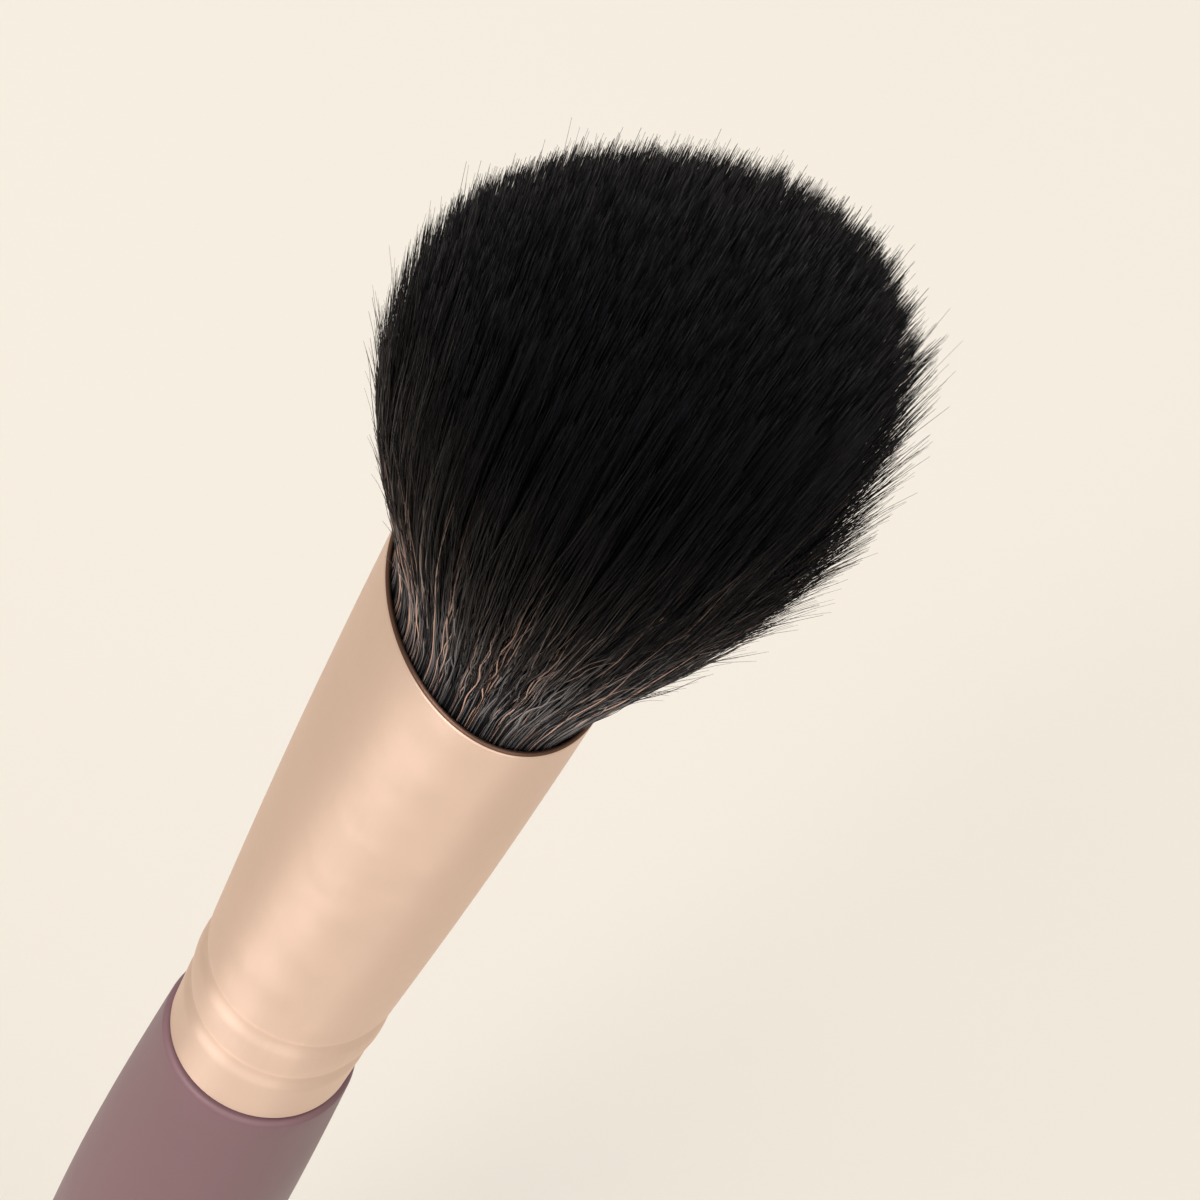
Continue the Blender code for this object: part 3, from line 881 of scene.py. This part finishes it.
def height_share(tree, low, high):
    """A value that rises from 0 to 1 between two levels of the brush."""
    place = node(tree, "ShaderNodeTexCoord")
    split = node(tree, "ShaderNodeSeparateXYZ")
    link(tree, place.outputs["Object"], split.inputs[0])
    return map_range(tree, split.outputs["Z"], (low, high))


def mix_colours(tree, share, first, second):
    """Mix of two colours, each a socket or a plain colour."""
    made = node(tree, "ShaderNodeMix", data_type="RGBA")
    link(tree, share, made.inputs["Factor"])
    for number, colour in ((FIRST_COLOUR, first), (SECOND_COLOUR, second)):
        if isinstance(colour, bpy.types.NodeSocket):
            link(tree, colour, made.inputs[number])
        else:
            made.inputs[number].default_value = (*colour, 1.0)
    return made.outputs[MIXED_COLOUR]


def bump(tree, height, distance, strength):
    made = node(tree, "ShaderNodeBump")
    made.inputs["Distance"].default_value = distance
    made.inputs["Strength"].default_value = strength
    link(tree, height, made.inputs["Height"])
    return made.outputs["Normal"]


def make_ferrule_material(grain):
    """Satin champagne anodising on drawn aluminium: fine grain, faint draw lines, and painted shade on the
    lip, which is darkened there for the dark hair that it reflects.
    """
    material, tree, shader = new_material("champagne_anodising")
    fine = place_group(tree, grain, Grain_Scale=9000.0, Marks_Scale=90.0, Stretch=(1.0, 1.0, 0.35))
    drawn = place_group(tree, grain, Grain_Scale=2600.0, Marks_Scale=260.0, Stretch=(1.0, 1.0, 0.03))
    wear = map_range(tree, fine.outputs["Marks"], NOISE_SPAN)
    tone = mix_colours(tree, wear, CHAMPAGNE, CHAMPAGNE_WORN)
    lines = map_range(tree, drawn.outputs["Height"], NOISE_SPAN)
    tone = mix_colours(tree, lines, tone, CHAMPAGNE_DRAWN)
    # Painted shade and a painted reflection of the dark hair darken the lip's top
    lip_painted_shade = height_share(tree, FERRULE_MOUTH - LIP_SHADE_HEIGHT, FERRULE_MOUTH - LIP_RADIUS)
    tone = mix_colours(tree, lip_painted_shade, tone, LIP_PAINTED_SHADE)
    link(tree, tone, shader.inputs["Base Color"])
    shader.inputs["Metallic"].default_value = 1.0
    # The tube was turned while it was brushed, so its highlights stretch along its axis
    shader.inputs["Anisotropic"].default_value = 0.9
    shader.inputs["Anisotropic Rotation"].default_value = 0.25
    around = node(tree, "ShaderNodeTangent", direction_type="RADIAL", axis="Z")
    link(tree, around.outputs["Tangent"], shader.inputs["Tangent"])
    sheen = map_range(tree, drawn.outputs["Marks"], NOISE_SPAN, FERRULE_ROUGHNESS)
    link(tree, sheen, shader.inputs["Roughness"])
    relief = bump(tree, fine.outputs["Height"], distance=0.004 * MM, strength=0.35)
    link(tree, relief, shader.inputs["Normal"])
    return material


def make_lacquer_material(grain):
    """Matt mauve lacquer over turned wood: sprayed skin, slightly uneven sheen."""
    material, tree, shader = new_material("mauve_lacquer")
    skin = place_group(tree, grain, Grain_Scale=3200.0, Marks_Scale=70.0, Stretch=(1.0, 1.0, 0.8))
    wear = map_range(tree, skin.outputs["Marks"], NOISE_SPAN)
    link(tree, mix_colours(tree, wear, MAUVE, MAUVE_WORN), shader.inputs["Base Color"])
    sheen = map_range(tree, skin.outputs["Marks"], NOISE_SPAN, LACQUER_ROUGHNESS)
    link(tree, sheen, shader.inputs["Roughness"])
    shader.inputs["Specular IOR Level"].default_value = 0.3
    relief = bump(tree, skin.outputs["Height"], distance=0.006 * MM, strength=0.3)
    link(tree, relief, shader.inputs["Normal"])
    return material


def make_hair_material():
    """Black synthetic hair: near their roots some hairs are grey and some copper brown, and all are painted
    lighter there, with painted shade at the mouth's edge and a painted glint on the glossy tips.
    """
    material, tree, shader = new_material("black_fibre")
    tint = node(tree, "ShaderNodeAttribute", attribute_name="tint").outputs["Fac"]
    fade = node(tree, "ShaderNodeAttribute", attribute_name="fade").outputs["Fac"]
    gloss = node(tree, "ShaderNodeAttribute", attribute_name="gloss").outputs["Fac"]
    # Root tones: partly the hairs' own grey and copper, partly painted light that lightens every hair near
    # the mouth
    root = mix_colours(tree, map_range(tree, tint, GREY_SPAN), ROOT_BLACK_PAINTED_LIGHT, ROOT_GREY_AND_PAINTED_LIGHT)
    root = mix_colours(tree, map_range(tree, tint, COPPER_SPAN), root, ROOT_COPPER_AND_PAINTED_LIGHT)
    upper = mix_colours(tree, tint, HAIR_BLACK, HAIR_SOFT_BLACK)
    # A painted glint lightens the colour of the glossy tips
    upper = mix_colours(tree, gloss, upper, HAIR_PAINTED_GLINT)
    link(tree, mix_colours(tree, fade, upper, root), shader.inputs["Base Color"])
    link(tree, map_range(tree, fade, (0.0, 1.0), HAIR_ROUGHNESS), shader.inputs["Roughness"])
    shader.inputs["Specular IOR Level"].default_value = 0.025
    link(tree, gloss, shader.inputs["Coat Weight"])
    shader.inputs["Coat Roughness"].default_value = 0.4
    return material


def make_roots_material(grain):
    """The bound roots: packed dark fibre ends wetted by the glue."""
    material, tree, shader = new_material("bound_fibre")
    ends = place_group(tree, grain, Grain_Scale=7000.0, Marks_Scale=500.0, Stretch=(1.0, 1.0, 0.1))
    glue = map_range(tree, ends.outputs["Height"], FIBRE_NOISE_SPAN)
    link(tree, mix_colours(tree, glue, FIBRE_DARK, FIBRE_GLUED), shader.inputs["Base Color"])
    shader.inputs["Roughness"].default_value = 0.5
    relief = bump(tree, ends.outputs["Height"], distance=0.03 * MM, strength=0.6)
    link(tree, relief, shader.inputs["Normal"])
    return material


def make_resin_material(grain):
    """Cured amber resin: cloudy and smooth."""
    material, tree, shader = new_material("amber_resin")
    body = place_group(tree, grain, Grain_Scale=900.0, Marks_Scale=300.0, Stretch=(1.0, 1.0, 1.0))
    cloud = map_range(tree, body.outputs["Marks"], NOISE_SPAN)
    link(tree, mix_colours(tree, cloud, AMBER, AMBER_CLOUD), shader.inputs["Base Color"])
    sheen = map_range(tree, body.outputs["Height"], NOISE_SPAN, RESIN_ROUGHNESS)
    link(tree, sheen, shader.inputs["Roughness"])
    return material


# The stage: the floor is lit round the brush and of one even tone farther out

FLOOR_RADIUS = 6.0
LIT_FLOOR_RADIUS = 0.18
PLAIN_FLOOR_RADIUS = 0.42
ROOM_STRENGTH = 0.18

# Soft lamps: azimuth and elevation in degrees, size in metres, power in watts
LAMP_DISTANCE = 3.2
LAMPS = {
    "top_softbox": (54.5, 88.0, 2.8, 39.0),
    "left_softbox": (17.0, 42.0, 1.7, 71.0),
    "front_softbox": (66.0, 42.0, 3.6, 68.0),
    "right_softbox": (105.0, 42.0, 2.8, 10.4),
}


def seen_directly(tree):
    """1 for rays of the camera and for those seen in metal, 0 for light that falls on the brush."""
    path = node(tree, "ShaderNodeLightPath")
    seen = path.outputs["Is Camera Ray"]
    for name in ("Is Glossy Ray", "Is Transmission Ray"):
        either = node(tree, "ShaderNodeMath", operation="MAXIMUM")
        link(tree, seen, either.inputs[0])
        link(tree, path.outputs[name], either.inputs[1])
        seen = either.outputs[0]
    return seen


def blend_shaders(tree, share, first, second, output):
    """Blend of two shaders, as what the material or the world puts out."""
    blend = node(tree, "ShaderNodeMixShader")
    link(tree, share, blend.inputs["Fac"])
    link(tree, first, blend.inputs[1])
    link(tree, second, blend.inputs[2])
    link(tree, blend.outputs[0], tree.nodes[output].inputs["Surface"])


def make_paper_material():
    """Pale paper: lit and shadowed round the brush, and plain farther out, where no lamp is aimed."""
    material, tree, shader = new_material("pale_paper")
    shader.inputs["Base Color"].default_value = (*PAPER, 1.0)
    shader.inputs["Roughness"].default_value = 0.9
    shader.inputs["Specular IOR Level"].default_value = 0.1
    place = node(tree, "ShaderNodeTexCoord")
    reach = node(tree, "ShaderNodeVectorMath", operation="LENGTH")
    link(tree, place.outputs["Object"], reach.inputs[0])
    far = node(tree, "ShaderNodeMath", operation="MULTIPLY")
    outside = map_range(tree, reach.outputs["Value"], (LIT_FLOOR_RADIUS, PLAIN_FLOOR_RADIUS))
    link(tree, outside, far.inputs[0])
    link(tree, seen_directly(tree), far.inputs[1])
    plain = node(tree, "ShaderNodeEmission")
    plain.inputs["Color"].default_value = (*BACKDROP, 1.0)
    blend_shaders(tree, far.outputs[0], shader.outputs["BSDF"], plain.outputs["Emission"], "Material Output")
    return material


def make_floor():
    work = bmesh.new()
    bmesh.ops.create_circle(work, cap_ends=True, segments=96, radius=FLOOR_RADIUS)
    mesh = bpy.data.meshes.new("floor")
    work.to_mesh(mesh)
    work.free()
    mesh.materials.append(make_paper_material())
    floor = bpy.data.objects.new("floor", mesh)
    floor.location.z = BUTT_LEVEL
    bpy.context.scene.collection.objects.link(floor)


def make_world():
    """A dim white room that the camera and the metal see in the backdrop's tone."""
    world = bpy.data.worlds.new("pale_room")
    bpy.context.scene.world = world
    world.use_nodes = True
    tree = world.node_tree
    room = tree.nodes["Background"]
    room.inputs["Color"].default_value = (1.0, 1.0, 1.0, 1.0)
    room.inputs["Strength"].default_value = ROOM_STRENGTH
    plain = node(tree, "ShaderNodeBackground")
    plain.inputs["Color"].default_value = (*BACKDROP, 1.0)
    seen = seen_directly(tree)
    blend_shaders(tree, seen, room.outputs["Background"], plain.outputs["Background"], "World Output")


def add_lamp(name, azimuth, elevation, size, power):
    """A square soft light that faces the mouth. Azimuth 0 stands on the -Y side, 90 on the +X side."""
    light = bpy.data.lights.new(name, "AREA")
    light.size = size
    light.energy = power
    lamp = bpy.data.objects.new(name, light)
    bearing = math.radians(azimuth)
    lift = math.radians(elevation)
    back = Vector((math.sin(bearing) * math.cos(lift), -math.cos(bearing) * math.cos(lift), math.sin(lift)))
    lamp.location = Vector((0.0, 0.0, FERRULE_MOUTH)) + back * LAMP_DISTANCE
    lamp.rotation_euler = back.to_track_quat("Z", "Y").to_euler()
    bpy.context.scene.collection.objects.link(lamp)


def add_camera():
    camera = bpy.data.cameras.new("camera")
    camera.sensor_width = SENSOR_WIDTH
    camera.lens = FOCAL_PIXELS / IMAGE_SIDE * SENSOR_WIDTH
    camera.clip_start = 0.01
    camera.clip_end = 30.0
    item = bpy.data.objects.new("camera", camera)
    turn = Euler((QUARTER_TURN - VIEW_ELEVATION, 0.0, VIEW_AZIMUTH)).to_matrix()
    turn = turn @ Matrix.Rotation(VIEW_ROLL, 3, "Z")
    half = IMAGE_SIDE / 2
    right = (half - MOUTH_PIXEL[0]) / FOCAL_PIXELS
    up = (MOUTH_PIXEL[1] - half) / FOCAL_PIXELS
    mouth = Vector((0.0, 0.0, FERRULE_MOUTH))
    item.location = mouth + turn @ (Vector((right, up, 1.0)) * MOUTH_DISTANCE)
    item.rotation_euler = turn.to_euler()
    bpy.context.scene.collection.objects.link(item)
    bpy.context.scene.camera = item


# Assembly

def build_handle_and_ferrule(grain):
    handle = finished_mesh("handle_lacquered", turned(handle_outline(), False))
    add_piece("handle_lacquered", handle, make_lacquer_material(grain), "handle", "handle")

    tube = turned(ferrule_outline(), True)
    press_oval(tube)
    ferrule = finished_mesh("ferrule_tube", tube)
    add_piece("ferrule_tube", ferrule, make_ferrule_material(grain), "ferrule", "ferrule")


def build_binding(grain):
    """The slice of bound roots, and the finish of the resin under it."""
    block = turned(root_slice_outline(), False)
    press_oval(block)
    roots = finished_mesh("bound_roots", block)
    add_piece("bound_roots", roots, make_roots_material(grain), "hair", "hair_tuft")

    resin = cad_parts["resin_plug"]
    resin.data.materials.clear()
    resin.data.materials.append(make_resin_material(grain))


def build_hair():
    """The rim, mantle and core of the head, each in parts that follow one another round it."""
    hair = grow_hair()
    fibre = make_hair_material()
    bearings = np.arctan2(hair["place"][:, 1], hair["place"][:, 0])
    in_rim = hair["reach"] > RIM_REACH
    in_core = hair["reach"] <= MANTLE_REACH
    rings = (
        ("hair_rim", in_rim, RIM_STATIONS, RIM_PARTS),
        ("hair_mantle", ~in_rim & ~in_core, MANTLE_STATIONS, MANTLE_PARTS),
        ("hair_core", in_core, CORE_STATIONS, CORE_PARTS),
    )
    for name, inside, stations, parts in rings:
        members = np.flatnonzero(inside)
        members = members[np.argsort(bearings[members])]
        for number, chosen in enumerate(np.array_split(members, parts), 1):
            label = f"{name}_{number}"
            add_piece(label, hair_mesh(label, hair, chosen, np.array(stations)), fibre, "hair", "hair_tuft")


def main():
    bpy.context.scene.view_settings.view_transform = "Standard"
    make_world()
    make_floor()
    for name, settings in LAMPS.items():
        add_lamp(name, *settings)
    add_camera()
    grain = make_grain_group()
    build_handle_and_ferrule(grain)
    build_binding(grain)
    build_hair()


main()
